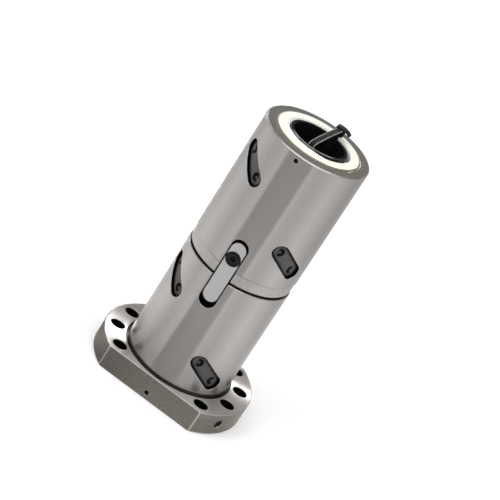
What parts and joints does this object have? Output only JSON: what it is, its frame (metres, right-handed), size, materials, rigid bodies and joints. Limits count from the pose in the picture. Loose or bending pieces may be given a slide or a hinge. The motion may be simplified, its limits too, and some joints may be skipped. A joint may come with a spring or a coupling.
{
  "type": "ball nut",
  "caption": "Long double ball nut with a flat-sided bolting flange, internal ball return inserts, wipers and a plastic arbor tube tied in its bore.",
  "frame": {"origin": "centre of the flange's back face, on the nut's axis", "axes": "+Z along the bore from the flange towards the free end; -Y towards the flange flat under the key; +X across, along the flange's long side"},
  "size_m": [0.093, 0.07, 0.1758],
  "materials": {
    "ground_steel": "ground, bright",
    "spacer_steel": "matte, lapped faces",
    "key_steel": "ground, satin",
    "black_steel": "black oxide",
    "ball_steel": "polished",
    "deflector_plastic": "moulded, dark grey",
    "wiper_plastic": "cream, moulded",
    "arbor_plastic": "black, extruded",
    "tie_nylon": "black nylon"
  },
  "bodies": {
    "nut": {"flanged_nut": "ground_steel", "plain_nut": "ground_steel", "spacer_ring": "spacer_steel", "key": "key_steel", "key_screw": "black_steel", "lower_deflector_1": "deflector_plastic", "lower_deflector_2": "deflector_plastic", "lower_deflector_3": "deflector_plastic", "lower_deflector_4": "deflector_plastic", "upper_deflector_1": "deflector_plastic", "upper_deflector_2": "deflector_plastic", "upper_deflector_3": "deflector_plastic", "upper_deflector_4": "deflector_plastic", "lower_balls_1": "ball_steel", "lower_balls_2": "ball_steel", "lower_balls_3": "ball_steel", "lower_balls_4": "ball_steel", "upper_balls_1": "ball_steel", "upper_balls_2": "ball_steel", "upper_balls_3": "ball_steel", "upper_balls_4": "ball_steel", "flange_wiper": "wiper_plastic", "end_wiper": "wiper_plastic", "flange_wiper_screw": "black_steel", "end_wiper_screw": "black_steel"},
    "arbor": {"arbor_tube": "arbor_plastic", "cable_tie": "tie_nylon"}
  },
  "joints": [
    {"name": "arbor_slide", "type": "slide", "parent": "nut", "child": "arbor", "axis": [0, 0, 1], "range_m": [0, 0.175]}
  ]
}
